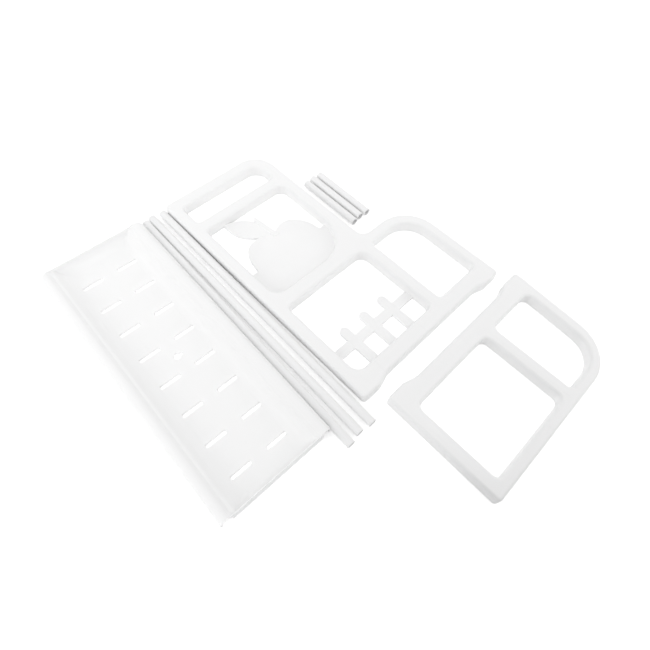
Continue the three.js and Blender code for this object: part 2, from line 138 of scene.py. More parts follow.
def foot_corners(depth):
    """The foot edge: two flat feet, with the edge between them swept up in a shallow arch."""
    inner = FOOT_LENGTH + FOOT_BLEND
    return [
        (0, 0, CORNER),
        (FOOT_LENGTH, 0, FOOT_BLEND_RADIUS),
        (inner, FOOT_RISE, FOOT_BLEND_RADIUS),
        (depth - inner, FOOT_RISE, FOOT_BLEND_RADIUS),
        (depth - FOOT_LENGTH, 0, FOOT_BLEND_RADIUS),
        (depth, 0, CORNER),
    ]


def arc(centre, radius, start, end, steps):
    """Points on an arc about a centre, with its angles in degrees from the first axis."""
    angles = [math.radians(start + (end - start) * step / steps) for step in range(steps + 1)]
    return [(centre[0] + radius * math.cos(a), centre[1] + radius * math.sin(a)) for a in angles]


def panel_profile():
    """The rim of a panel from the channel's ceiling, round its open edge, up to the shoulder on top."""
    rim = PANEL_RIM_ROUND
    wall_foot = PANEL_WALL - PANEL_DRAFT
    channel_edge = (PANEL_WALL + CHANNEL_FILLET, channel_height - CHANNEL_FILLET)
    crown_start = PANEL_DRAFT + PANEL_EDGE * (1 - math.sin(PANEL_CROWN))
    crown_radius = (PANEL_SHOULDER - crown_start) / math.sin(PANEL_CROWN)
    crown_centre = (PANEL_SHOULDER, panel_thickness - crown_radius)
    crown = math.degrees(PANEL_CROWN)
    edge_drop = crown_radius * (1 - math.cos(PANEL_CROWN)) + PANEL_EDGE * math.cos(PANEL_CROWN)
    edge_centre = (PANEL_DRAFT + PANEL_EDGE, panel_thickness - edge_drop)
    return [
        *arc(channel_edge, CHANNEL_FILLET, 90, 180, FILLET_STEPS),
        *arc((wall_foot - rim, rim), rim, 0, -90, SMALL_STEPS),
        *arc((rim, rim), rim, 270, 180, SMALL_STEPS),
        *arc(edge_centre, PANEL_EDGE, 180, 90 + crown, EDGE_STEPS),
        *arc(crown_centre, crown_radius, 90 + crown, 90, SMALL_STEPS)[1:],
        (PANEL_SHOULDER + PANEL_FLAT_RING, panel_thickness),
    ]


def left_steps(loop):
    """For each point of a loop, the step that moves the edges beside it 1 to their left."""
    steps = []
    for i, point in enumerate(loop):
        before = (point - loop[i - 1]).normalized()
        after = (loop[(i + 1) % len(loop)] - point).normalized()
        left = before.orthogonal() + after.orthogonal()
        steps.append(left / (1 + before.dot(after)))
    return steps


def moulded(name, loops, profile):
    """A closed mesh with flat ends, whose edge follows a profile of (inset, height) round every loop."""
    bm = bmesh.new()
    ends = []
    for loop in loops:
        steps = left_steps(loop)
        rings = []
        for inset, height in profile:
            places = [point + step * inset for point, step in zip(loop, steps)]
            rings.append([bm.verts.new((place.x, place.y, height)) for place in places])
        for ring, above in zip(rings, rings[1:]):
            for i in range(len(ring)):
                bm.faces.new((ring[i - 1], ring[i], above[i], above[i - 1]))
        ends.append((rings[0], rings[-1]))
    for level in zip(*ends):
        edges = [bm.edges.get((ring[i - 1], ring[i])) for ring in level for i in range(len(ring))]
        bmesh.ops.triangle_fill(bm, use_beauty=True, edges=edges)
    bmesh.ops.recalc_face_normals(bm, faces=bm.faces)
    mesh = bpy.data.meshes.new(name)
    bm.to_mesh(mesh)
    bm.free()
    return mesh


def shown(name, data):
    """A new object in the scene, for a mesh or the camera."""
    obj = bpy.data.objects.new(name, data)
    bpy.context.scene.collection.objects.link(obj)
    return obj


def settled(obj, *helpers):
    """The plain mesh that an object's modifiers make, once it and its helpers are removed."""
    evaluated = obj.evaluated_get(bpy.context.evaluated_depsgraph_get())
    mesh = bpy.data.meshes.new_from_object(evaluated)
    for used in (obj, *helpers):
        bpy.data.objects.remove(used)
    return mesh


def combined(mesh, other, operation):
    """A mesh with another joined to it (UNION) or cut out of it (DIFFERENCE)."""
    whole = shown("whole", mesh)
    tool = shown("tool", other)
    modifier = whole.modifiers.new("combine", "BOOLEAN")
    modifier.object = tool
    modifier.operation = operation
    modifier.solver = "MANIFOLD"
    return settled(whole, tool)


def disc_loop(x, y, radius):
    """Points round a circle, anticlockwise."""
    turns = [2 * math.pi * side / ROUND_SIDES for side in range(ROUND_SIDES)]
    return [Vector((x + radius * math.cos(turn), y + radius * math.sin(turn))) for turn in turns]


def panel_mesh(name, outline, windows, sockets):
    """A panel drawn standing, as (depth, height), with its rim, its bosses and their blind bores."""
    mesh = moulded(name, [rounded_loop(outline), *windows], panel_profile())
    boss_profile = [(0, 0), (0, channel_height + BOSS_OVERLAP)]
    lead_in = SOCKET_LEAD_IN
    bore_profile = [(-lead_in, BORE_START), (-lead_in, 0), (0, lead_in), (0, SOCKET_DEPTH)]
    for depth, height in sockets:
        boss = moulded("boss", [disc_loop(depth, height, BOSS_RADIUS)], boss_profile)
        bore = moulded("bore", [disc_loop(depth, height, SOCKET_RADIUS)], bore_profile)
        mesh = combined(mesh, boss, "UNION")
        mesh = combined(mesh, bore, "DIFFERENCE")
    return mesh


tall_outline = [
    *foot_corners(lower_depth),
    (lower_depth, STEP_HEIGHT, STEP_RADIUS),
    (UPPER_DEPTH, STEP_HEIGHT, STEP_FILLET),
    (UPPER_DEPTH, tall_height, TOP_FRONT_RADIUS),
    (0, tall_height, CORNER),
]
small = WINDOW_RADIUS
step_front = lower_depth - TALL_FRONT_BAR
handle_radii = (small, small, HANDLE_FRONT_RADIUS, small)
fruit_radii = (FRUIT_BACK_RADIUS, FRUIT_FRONT_RADIUS, WINDOW_FRONT_RADIUS, small)
fence_radii = (WINDOW_FRONT_RADIUS, small, WINDOW_FRONT_RADIUS, small)
step_radii = (small, small, STEP_WINDOW_RADIUS, small)
tall_windows = [
    window_loop(TALL_BACK_BAR, handle_base, window_front, handle_top, handle_radii),
    window_loop(TALL_BACK_BAR, fruit_base, window_front, fruit_top, fruit_radii),
    window_loop(TALL_BACK_BAR, TALL_FOOT_BAR, window_front, lower_window_top, fence_radii),
    window_loop(UPPER_DEPTH, TALL_FOOT_BAR, step_front, lower_window_top, step_radii),
]
shelf_height = lower_window_top + SHELF_BAR / 2
tall_sockets = [
    (UPPER_DEPTH / 2 - TRAY_HOOK_OFFSET, shelf_height),
    (UPPER_DEPTH / 2 + TRAY_HOOK_OFFSET, shelf_height),
    (lower_depth - TALL_FRONT_BAR / 2, FRONT_RAIL_HEIGHT),
]
tall_mesh = panel_mesh("tall_side_panel_moulding", tall_outline, tall_windows, tall_sockets)

# A plastic has a dull, a pale and a rubbed tone, a matt and a glossy roughness, and a skin with scales
# for its flow marks, its grain and its scuffs.
PANEL_TONES = (0.915, 0.93, 0.94)
PANEL_ROUGHNESS = (0.52, 0.4)
PANEL_SKIN_SCALES = (9, 2200, 30)
PANEL_GRAIN_DEPTH = 0.00004
GRAIN_STRENGTH = 0.25
SCUFF_TURN = 0.6
SCUFF_STRETCH = (1, 14, 14)
SCUFF_RANGE = (0.66, 0.78)
SCUFF_TONE = 0.985
SCUFF_ROUGHER = 0.08
EDGE_WEAR_RANGE = (0.3, 0.7)
EDGE_WEAR_SCALE = 3
RUBBED_SMOOTHER = 0.06
PLASTIC_IOR = 1.49


def place_node(tree, kind, inputs=None, **settings):
    """Adds a node to a tree with its settings, and sets or links its inputs by name or number."""
    node = tree.nodes.new(kind)
    for name, value in settings.items():
        setattr(node, name, value)
    for socket, value in (inputs or {}).items():
        if isinstance(value, bpy.types.NodeSocket):
            tree.links.new(value, node.inputs[socket])
        else:
            node.inputs[socket].default_value = value
    return node


def new_tree(name, kind, inputs, outputs):
    """An empty node tree with named sockets, and the outputs of its input node."""
    tree = bpy.data.node_groups.new(name, kind)
    for socket, socket_kind in inputs.items():
        tree.interface.new_socket(socket, in_out="INPUT", socket_type="NodeSocket" + socket_kind)
    for socket, socket_kind in outputs.items():
        tree.interface.new_socket(socket, in_out="OUTPUT", socket_type="NodeSocket" + socket_kind)
    return tree, tree.nodes.new("NodeGroupInput").outputs


def worked_out(tree, operation, *values):
    """The result of a maths node on values or sockets."""
    inputs = dict(enumerate(values))
    return place_node(tree, "ShaderNodeMath", inputs, operation=operation).outputs[0]


def stored_value(tree, attribute):
    """The value that an attribute of the mesh holds."""
    return place_node(tree, "ShaderNodeAttribute", attribute_name=attribute).outputs["Fac"]


def moulded_skin_group():
    """Broad flow marks, a fine moulded grain and sparse scuffs, on a piece's own coordinates."""
    inputs = {"Flow Scale": "Float", "Grain Scale": "Float", "Scuff Scale": "Float"}
    outputs = {"Flow": "Float", "Grain": "Float", "Scuff": "Float"}
    tree, size = new_tree("moulded skin", "ShaderNodeTree", inputs, outputs)
    place = place_node(tree, "ShaderNodeTexCoord").outputs["Object"]
    flow = {"Vector": place, "Scale": size["Flow Scale"], "Detail": 3.0, "Distortion": 0.6}
    grain = {"Vector": place, "Scale": size["Grain Scale"], "Detail": 2.0, "Roughness": 0.6}
    streaks = {"Vector": place, "Rotation": (0, 0, SCUFF_TURN), "Scale": SCUFF_STRETCH}
    turned = place_node(tree, "ShaderNodeMapping", streaks)
    scuff = {"Vector": turned.outputs[0], "Scale": size["Scuff Scale"], "Detail": 1.0}
    marks = place_node(tree, "ShaderNodeTexNoise", scuff)
    sparse = {"Value": marks.outputs[0], "From Min": SCUFF_RANGE[0], "From Max": SCUFF_RANGE[1]}
    results = {
        "Flow": place_node(tree, "ShaderNodeTexNoise", flow).outputs[0],
        "Grain": place_node(tree, "ShaderNodeTexNoise", grain).outputs[0],
        "Scuff": place_node(tree, "ShaderNodeMapRange", sparse).outputs[0],
    }
    place_node(tree, "NodeGroupOutput", results)
    return tree


def rubbed_edges_group():
    """A mask along the bent edges of a piece, broken up as edges wear."""
    tree, size = new_tree("rubbed edges", "ShaderNodeTree", {"Break Scale": "Float"}, {"Mask": "Float"})
    place = place_node(tree, "ShaderNodeTexCoord").outputs["Object"]
    breaks = {"Vector": place, "Scale": size["Break Scale"]}
    broken = place_node(tree, "ShaderNodeTexNoise", breaks).outputs[0]
    wear = {"Value": broken, "From Min": EDGE_WEAR_RANGE[0], "From Max": EDGE_WEAR_RANGE[1]}
    worn = place_node(tree, "ShaderNodeMapRange", wear).outputs[0]
    mask = worked_out(tree, "MULTIPLY", stored_value(tree, "edge_bend"), worn)
    place_node(tree, "NodeGroupOutput", {"Mask": mask})
    return tree


skin_group = moulded_skin_group()
edge_group = rubbed_edges_group()


def mixed(tree, factor, first, second):
    """A colour or value socket between two others, by a factor."""
    values = isinstance(first, (int, float, bpy.types.NodeSocketFloat))
    kind = "FLOAT" if values else "RGBA"
    node = place_node(tree, "ShaderNodeMix", data_type=kind)
    picked = [socket for socket in node.inputs if socket.enabled]
    for socket, value in zip(picked, (factor, first, second)):
        if isinstance(value, bpy.types.NodeSocket):
            tree.links.new(value, socket)
        else:
            socket.default_value = value
    return next(socket for socket in node.outputs if socket.enabled)


def grey(level):
    """A neutral colour of one linear level."""
    return (level, level, level, 1)


def skinned(name, scales, grain_strength, grain_depth):
    """A new material with the skin at (flow, grain, scuff) scales, and its grain as fine relief."""
    material = bpy.data.materials.new(name)
    material.use_nodes = True
    tree = material.node_tree
    surface = tree.nodes["Principled BSDF"].inputs
    skin = place_node(tree, "ShaderNodeGroup", node_tree=skin_group)
    for socket, scale in zip(skin.inputs, scales):
        socket.default_value = scale
    relief = {"Height": skin.outputs["Grain"], "Strength": grain_strength, "Distance": grain_depth}
    bump = place_node(tree, "ShaderNodeBump", relief)
    tree.links.new(bump.outputs["Normal"], surface["Normal"])
    return material, surface, skin.outputs


def moulded_plastic(name, tones, roughness, scales, grain_depth):
    """White plastic: flow marks between two tones, paler rubbed edges and a grained gloss."""
    material, surface, skin = skinned(name, scales, GRAIN_STRENGTH, grain_depth)
    tree = material.node_tree
    edges = place_node(tree, "ShaderNodeGroup", node_tree=edge_group)
    edges.inputs["Break Scale"].default_value = scales[0] * EDGE_WEAR_SCALE
    worn = edges.outputs["Mask"]
    dull, pale, rubbed = tones
    body = mixed(tree, skin["Flow"], grey(dull), grey(pale))
    scuffed = mixed(tree, skin["Scuff"], body, grey(dull * SCUFF_TONE))
    tree.links.new(mixed(tree, worn, scuffed, grey(rubbed)), surface["Base Color"])
    matt, gloss = roughness
    grained = mixed(tree, skin["Grain"], gloss, matt)
    dulled = mixed(tree, skin["Scuff"], grained, matt + SCUFF_ROUGHER)
    tree.links.new(mixed(tree, worn, dulled, gloss - RUBBED_SMOOTHER), surface["Roughness"])
    surface["IOR"].default_value = PLASTIC_IOR
    return material


panel_plastic = moulded_plastic(
    "panel_plastic", PANEL_TONES, PANEL_ROUGHNESS, PANEL_SKIN_SCALES, PANEL_GRAIN_DEPTH
)

# Fruit, leaf and stem
# A flat ornament moulded in one with the tall panel, level with its open back and so deep in its window.
# The fruit runs into the shelf bar and both side bars, and the leaf's tip and the stem stand above it.

ORNAMENT_THICKNESS = 3
ORNAMENT_ROOT = 1.5
ORNAMENT_EDGE = 1
FRUIT_SHOULDER = 48.5
FRUIT_LOBE = 88.5
FRUIT_DIP = 83
FRUIT_DIP_BACK = 71
FRUIT_BACK_NOTCH = 12
FRUIT_FRONT_NOTCH = 8
FRUIT_SIDE_SHARE = 0.6
FRUIT_SIDE_PULL = 2
FRUIT_FRONT_PULL = 15
FRUIT_BACK_PULL = 10
FRUIT_DIP_PULL = 8
LEAF_TIP_BACK = 26
LEAF_BELLY = 15
LEAF_STANDS_PROUD = 0.35
STEM_LENGTH = 38
STEM_WIDTH = 7.5
STEM_TIP_SHARE = 0.25
STEM_HEEL_SHARES = (0.65, 0.9)
STEM_BOW_SHARE = 0.5
STEM_STANDS_PROUD = 0.9
CURVE_STEPS = 16


def bowed(start, pulls, end):
    """Points of a curve from start up to, but without, its end, drawn towards one or two pull points."""
    start, end = Vector(start), Vector(end)
    handles = [Vector(pull) for pull in pulls]
    if len(handles) == 1:
        handles = [start.lerp(handles[0], 2 / 3), end.lerp(handles[0], 2 / 3)]
    return [point.to_2d() for point in interpolate_bezier(start, *handles, end, CURVE_STEPS)[:-1]]


def plate_profile(top):
    """The edge of a flat ornament: square below and rounded above."""
    edge = ORNAMENT_EDGE
    return [(0, 0), *arc((edge, top - edge), edge, 180, 90, FILLET_STEPS), (2 * edge, top)]


def fruit_loop():
    """Two lobes with a dip between them, over a broad base with a notch beside each side bar."""
    back = TALL_BACK_BAR - ORNAMENT_ROOT
    front = window_front + ORNAMENT_ROOT
    base = fruit_base - ORNAMENT_ROOT
    back_side = TALL_BACK_BAR + FRUIT_BACK_NOTCH
    front_side = window_front - FRUIT_FRONT_NOTCH
    dip = (TALL_BACK_BAR + FRUIT_DIP_BACK, fruit_base + FRUIT_DIP)
    shoulder = fruit_base + FRUIT_SHOULDER
    lobe = fruit_base + FRUIT_LOBE
    side = shoulder + (lobe - shoulder) * FRUIT_SIDE_SHARE
    back_lobe = (back_side + dip[0]) / 2
    front_lobe = (2 * dip[0] + front_side) / 3
    front_pulls = [(front_side - FRUIT_SIDE_PULL, side), (front_side - FRUIT_FRONT_PULL, lobe)]
    back_pulls = [(back_side + FRUIT_BACK_PULL, lobe), (back_side + FRUIT_SIDE_PULL, side)]
    return [
        *(Vector(corner) for corner in [(back, base), (front, base), (front, shoulder)]),
        *bowed((front_side, shoulder), front_pulls, (front_lobe, lobe)),
        *bowed((front_lobe, lobe), [(front_lobe - FRUIT_DIP_PULL, lobe)], dip),
        *bowed(dip, [((back_lobe + dip[0]) / 2, lobe)], (back_lobe, lobe)),
        *bowed((back_lobe, lobe), back_pulls, (back_side, shoulder)),
        *(Vector(corner) for corner in [(back_side, shoulder), (back, shoulder)]),
    ]


def leaf_loop():
    """A pointed leaf from its tip, under the handle bar, to its root beside the stem."""
    tip = Vector((TALL_BACK_BAR + LEAF_TIP_BACK, fruit_top + ORNAMENT_ROOT))
    root = Vector((TALL_BACK_BAR + FRUIT_DIP_BACK - STEM_WIDTH, fruit_base + FRUIT_DIP))
    side = (root - tip).orthogonal().normalized() * 2 * LEAF_BELLY
    middle = (tip + root) / 2
    return [*bowed(tip, [middle - side], root), *bowed(root, [middle + side], tip)]


def stem_loop():
    """A stem that leans back to a blunt, slanted end, slightly bowed along its back."""
    front = TALL_BACK_BAR + FRUIT_DIP_BACK
    back = front - STEM_WIDTH
    base = fruit_base + FRUIT_DIP - STEM_WIDTH
    top = fruit_base + FRUIT_DIP + STEM_LENGTH
    tip = (back + STEM_WIDTH * STEM_TIP_SHARE, top)
    heel_back, heel_drop = (STEM_WIDTH * share for share in STEM_HEEL_SHARES)
    heel = (tip[0] - heel_back, top - heel_drop)
    bow = (back - STEM_WIDTH * STEM_BOW_SHARE, (base + top) / 2)
    return [
        *(Vector(corner) for corner in [(back, base), (front, base), tip]),
        *bowed(heel, [bow], (back, base)),
    ]


ornaments = [
    ("fruit", fruit_loop(), ORNAMENT_THICKNESS),
    ("leaf", leaf_loop(), ORNAMENT_THICKNESS + LEAF_STANDS_PROUD),
    ("stem", stem_loop(), ORNAMENT_THICKNESS + STEM_STANDS_PROUD),
]
for ornament, loop, top in ornaments:
    tall_mesh = combined(tall_mesh, moulded(ornament, [loop], plate_profile(top)), "UNION")

# Picket rail
# Round-topped pickets on the foot bar with one rail across them, moulded in one with the tall panel.
# They are as thin as the fruit and, like it, lie level with the panel's open back.

PICKET_COUNT = 3
PICKET_WIDTH = 12.5
PICKET_PITCH = 32
PICKET_RISE = 16.3
PICKET_STANDS_PROUD = 0.1
PICKET_FOOT_RADIUS = 0.5
ROUND_END_SHARE = 0.999
RAIL_WIDTH = 12.5
RAIL_CLEARANCE = 25.2
SHARP_ANGLE = math.radians(24)
FULL_BEND = math.radians(30)


def grown(name, tree, sizes, mesh=None, helpers=()):
    """The plain mesh that a Geometry Nodes tree makes at the given sizes, from a mesh or nothing."""
    obj = shown(name, mesh or bpy.data.meshes.new(name))
    modifier = obj.modifiers.new(name, "NODES")
    modifier.node_group = tree
    for socket in tree.interface.items_tree:
        if socket.in_out == "INPUT" and socket.name in sizes:
            modifier[socket.identifier] = sizes[socket.name]
    return settled(obj, *helpers)


def picket_row_tree():
    """Pickets at an even pitch along x, joined to the rail that crosses them."""
    inputs = {
        "Picket": "Object",
        "Rail": "Object",
        "Count": "Int",
        "Pitch": "Float",
        "Finish": "Material",
    }
    tree, size = new_tree("picket row", "GeometryNodeTree", inputs, {"Geometry": "Geometry"})
    step = place_node(tree, "ShaderNodeCombineXYZ", {"X": size["Pitch"]})
    row = place_node(tree, "GeometryNodeMeshLine", {"Count": size["Count"], "Offset": step.outputs[0]})
    picket = place_node(tree, "GeometryNodeObjectInfo", {"Object": size["Picket"]})
    rail = place_node(tree, "GeometryNodeObjectInfo", {"Object": size["Rail"]})
    copies = {"Points": row.outputs["Mesh"], "Instance": picket.outputs["Geometry"]}
    pickets = place_node(tree, "GeometryNodeInstanceOnPoints", copies)
    loose = place_node(tree, "GeometryNodeRealizeInstances", {"Geometry": pickets.outputs["Instances"]})
    fence = place_node(tree, "GeometryNodeMeshBoolean", operation="UNION", solver="MANIFOLD")
    tree.links.new(loose.outputs["Geometry"], fence.inputs["Mesh 2"])
    tree.links.new(rail.outputs["Geometry"], fence.inputs["Mesh 2"])
    whole = place_node(tree, "GeometryNodeRealizeInstances", {"Geometry": fence.outputs["Mesh"]})
    coat = {"Geometry": whole.outputs["Geometry"], "Material": size["Finish"]}
    done = place_node(tree, "GeometryNodeSetMaterial", coat)
    place_node(tree, "NodeGroupOutput", {"Geometry": done.outputs["Geometry"]})
    return tree


def finished(name, mesh, place, material, node):
    """Puts a piece in its place in the frame, riding on the body of the CAD node that it stands for."""
    mesh.transform(place)
    if place.determinant() < 0:
        mesh.flip_normals()
    mesh.name = name
    mesh.materials.clear()
    mesh.materials.append(material)
    mesh.shade_smooth()
    mesh.set_sharp_from_angle(angle=SHARP_ANGLE)
    bm = bmesh.new()
    bm.from_mesh(mesh)
    bends = []
    for vert in bm.verts:
        angles = [edge.calc_face_angle(0) for edge in vert.link_edges]
        bends.append(min(1, max(angles, default=0) / FULL_BEND))
    bm.free()
    mesh.attributes.new("edge_bend", "FLOAT", "POINT").data.foreach_set("value", bends)
    piece = shown(name, mesh)
    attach(piece, node)
    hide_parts(node)


def laid_down(foot, depth_start, base, way):
    """The place of a panel drawn standing: its foot at one x, its height along X or -X (way 1 or -1)."""
    return Matrix(((0, way * MM, 0, foot), (MM, 0, 0, depth_start), (0, 0, MM, base), (0, 0, 0, 1)))


rail_base = TALL_FOOT_BAR + RAIL_CLEARANCE
rail_top = rail_base + RAIL_WIDTH
rail_back = TALL_BACK_BAR - ORNAMENT_ROOT
rail_front = window_front + ORNAMENT_ROOT
rail_corners = [
    (rail_back, rail_base),
    (rail_front, rail_base),
    (rail_front, rail_top),
    (rail_back, rail_top),
]
first_picket = (rail_back + rail_front) / 2 - (PICKET_COUNT - 1) / 2 * PICKET_PITCH
half = PICKET_WIDTH / 2
picket_foot = TALL_FOOT_BAR - ORNAMENT_ROOT
picket_top = rail_top + PICKET_RISE
picket_corners = [
    (first_picket - half, picket_foot, PICKET_FOOT_RADIUS),
    (first_picket + half, picket_foot, PICKET_FOOT_RADIUS),
    (first_picket + half, picket_top, half * ROUND_END_SHARE),
    (first_picket - half, picket_top, half * ROUND_END_SHARE),
]
picket_profile = plate_profile(ORNAMENT_THICKNESS + PICKET_STANDS_PROUD)
picket = shown("picket", moulded("picket", [rounded_loop(picket_corners)], picket_profile))
rail_loop = [Vector(corner) for corner in rail_corners]
rail = shown("rail", moulded("rail", [rail_loop], plate_profile(ORNAMENT_THICKNESS)))
fence_sizes = {
    "Picket": picket,
    "Rail": rail,
    "Count": PICKET_COUNT,
    "Pitch": PICKET_PITCH,
    "Finish": panel_plastic,
}
fence = grown("picket_rail", picket_row_tree(), fence_sizes, helpers=(picket, rail))
tall_mesh = combined(tall_mesh, fence, "UNION")

# The panel lies with its top towards -X and its front towards +Y.
tall_place = laid_down(tall_end.x, tall_start.y, tall_start.z, -1)
finished("tall_panel_moulding", tall_mesh, tall_place, panel_plastic, "tall_side_panel")

# Low side panel
# The end frame of the lower tier beyond the step, moulded like the tall one but with two open windows.
# Its front edge leans back a little, and its outline and its second window have one large corner each.

LOW_FRONT_LEAN = 9
LOW_FRONT_RADIUS = 52
LOW_BACK_BAR = 17.2
LOW_UPRIGHT_BACK = 137.2
LOW_UPRIGHT_BAR = 17
LOW_FRONT_BAR = 14.8
LOW_FOOT_BAR = 27.7
LOW_TOP_BAR = 13.2
LOW_WINDOW_RADIUS = 8
LOW_SOCKET_INSET = 40
LOW_SOCKET_DROP = 10.5

low_start, low_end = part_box("low_side_panel")
low_height = (low_end.x - low_start.x) / MM
low_depth = (low_end.y - low_start.y) / MM
low_window_top = low_height - LOW_TOP_BAR
upright_front = LOW_UPRIGHT_BACK + LOW_UPRIGHT_BAR


def low_front_at(height):
    """The depth of the second window's front edge, which leans back as the panel's own front does."""
    return low_depth - LOW_FRONT_BAR - LOW_FRONT_LEAN * height / low_height


low_outline = [
    *foot_corners(low_depth),
    (low_depth - LOW_FRONT_LEAN, low_height, LOW_FRONT_RADIUS),
    (0, low_height, CORNER),
]
step_corners = [
    (upright_front, LOW_FOOT_BAR, LOW_WINDOW_RADIUS),
    (low_front_at(LOW_FOOT_BAR), LOW_FOOT_BAR, LOW_WINDOW_RADIUS),
    (low_front_at(low_window_top), low_window_top, STEP_WINDOW_RADIUS),
    (upright_front, low_window_top, WINDOW_RADIUS),
]
low_windows = [
    window_loop(LOW_BACK_BAR, LOW_FOOT_BAR, LOW_UPRIGHT_BACK, low_window_top, [LOW_WINDOW_RADIUS] * 4),
    rounded_loop(step_corners[::-1]),
]
foot_middle = (FOOT_RISE + LOW_FOOT_BAR) / 2
low_sockets = [
    (LOW_SOCKET_INSET, foot_middle),
    (low_depth - LOW_SOCKET_INSET, foot_middle),
    (LOW_UPRIGHT_BACK + LOW_UPRIGHT_BAR / 2, low_height - LOW_SOCKET_DROP),
]
low_mesh = panel_mesh("low_side_panel_moulding", low_outline, low_windows, low_sockets)

# It lies foot to foot with the tall panel, as the other hand of moulding, with its top towards +X.
low_place = laid_down(low_start.x, low_start.y, low_start.z, 1)
finished("low_panel_moulding", low_mesh, low_place, panel_plastic, "low_side_panel")

# Long and short tubes
# The rails between the panels: thin-walled steel tube, cut square and powder coated white.
# Their open ends push into the panels' sockets. The coat is thin at the cut rims and in the bore.

TUBE_DIAMETER = 10
TUBE_WALL = 0.8
TUBE_RIM_ROUND = 0.25
TUBE_RIM_STEPS = 3
TUBE_SIDES = 48
TUBE_SKIN_SCALES = (25, 900, 60)
PEEL_STRENGTH = 0.3
PEEL_DEPTH = 0.00008
PEEL_ROUGHNESS = (0.3, 0.42)
COAT_TONES = (0.88, 0.91)
COAT_SCUFF_TONE = 0.85
THIN_RIM = (0.05, 0.5)
THIN_COAT_TONE = 0.8
THIN_COAT_ROUGHNESS = 0.5
LONG_TUBE_LENGTH = 381
SHORT_TUBE_LENGTH = 94
# How each tube lies: its turn in degrees, and how far it is drawn aside.
LONG_TUBE_LAYS = ((-0.8, 0.45), (-1.05, 0), (-1.75, 0))
SHORT_TUBE_LAYS = ((-0.5, 0), (-0.4, 0), (-0.3, 0))


def coated_tube_tree():
    """A tube along x, round its middle: its wall's section, with rounded rims, run round a circle."""
    inputs = {
        "Length": "Float",
        "Diameter": "Float",
        "Wall": "Float",
        "Rim Round": "Float",
        "Sides": "Int",
        "Finish": "Material",
    }
    tree, size = new_tree("coated tube", "GeometryNodeTree", inputs, {"Geometry": "Geometry"})
    wall = {"Width": size["Wall"], "Height": size["Length"]}
    section = place_node(tree, "GeometryNodeCurvePrimitiveQuadrilateral", wall)
    soft = {"Curve": section.outputs[0], "Count": TUBE_RIM_STEPS, "Radius": size["Rim Round"]}
    rounded = place_node(tree, "GeometryNodeFilletCurve", soft, mode="POLY")
    across = worked_out(tree, "SUBTRACT", size["Diameter"], size["Wall"])
    radius = worked_out(tree, "MULTIPLY", across, 0.5)
    ring = {"Resolution": size["Sides"], "Radius": radius}
    circle = place_node(tree, "GeometryNodeCurvePrimitiveCircle", ring)
    swept = {"Curve": circle.outputs[0], "Profile Curve": rounded.outputs[0]}
    tube = place_node(tree, "GeometryNodeCurveToMesh", swept).outputs[0]
    position = place_node(tree, "GeometryNodeInputPosition").outputs[0]
    spot = place_node(tree, "ShaderNodeSeparateXYZ", {0: position}).outputs
    flat = place_node(tree, "ShaderNodeCombineXYZ", {"X": spot["X"], "Y": spot["Y"]}).outputs[0]
    reach = place_node(tree, "ShaderNodeVectorMath", {0: flat}, operation="LENGTH").outputs["Value"]
    bore = worked_out(tree, "LESS_THAN", reach, radius)
    half_length = worked_out(tree, "MULTIPLY", size["Length"], 0.5)
    for attribute, value in (("along", spot["Z"]), ("half_length", half_length), ("bore", bore)):
        stored = {"Geometry": tube, "Name": attribute, "Value": value}
        tube = place_node(tree, "GeometryNodeStoreNamedAttribute", stored).outputs[0]
    lying = {"Geometry": tube, "Rotation": (0, math.pi / 2, 0)}
    laid = place_node(tree, "GeometryNodeTransform", lying).outputs[0]
    whole = place_node(tree, "GeometryNodeRealizeInstances", {"Geometry": laid}).outputs[0]
    done = place_node(tree, "GeometryNodeSetMaterial", {"Geometry": whole, "Material": size["Finish"]})
    place_node(tree, "NodeGroupOutput", {"Geometry": done.outputs[0]})
    return tree


def tube_finish():
    """White powder coat with a fine orange peel, thinning to grey at the cut rims and in the bore."""
    material, surface, skin = skinned("tube_coating", TUBE_SKIN_SCALES, PEEL_STRENGTH, PEEL_DEPTH)
    tree = material.node_tree
    out = worked_out(tree, "ABSOLUTE", stored_value(tree, "along"))
    from_end = worked_out(tree, "SUBTRACT", stored_value(tree, "half_length"), out)
    rim_start, rim_end = THIN_RIM
    rim = {"Value": from_end, "From Min": rim_start, "From Max": rim_end, "To Min": 1.0, "To Max": 0.0}
    thin_rim = place_node(tree, "ShaderNodeMapRange", rim).outputs[0]
    thin = worked_out(tree, "MAXIMUM", thin_rim, stored_value(tree, "bore"))
    coat = mixed(tree, skin["Flow"], *(grey(tone) for tone in COAT_TONES))
    marked = mixed(tree, skin["Scuff"], coat, grey(COAT_SCUFF_TONE))
    tree.links.new(mixed(tree, thin, marked, grey(THIN_COAT_TONE)), surface["Base Color"])
    peel = mixed(tree, skin["Grain"], *PEEL_ROUGHNESS)
    tree.links.new(mixed(tree, thin, peel, THIN_COAT_ROUGHNESS), surface["Roughness"])
    return material


tube_tree = coated_tube_tree()
tube_coating = tube_finish()


def laid_flat(node, turn, lift, aside=0):
    """The place of a piece drawn round its middle, turned and lifted at the middle of its node's box."""
    low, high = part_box(node)
    middle = (low + high) / 2
    middle.y += aside * MM
    middle.z = low.z + lift * MM
    return Matrix.Translation(middle) @ Matrix.Rotation(math.radians(turn), 4, "Z") @ Matrix.Scale(MM, 4)


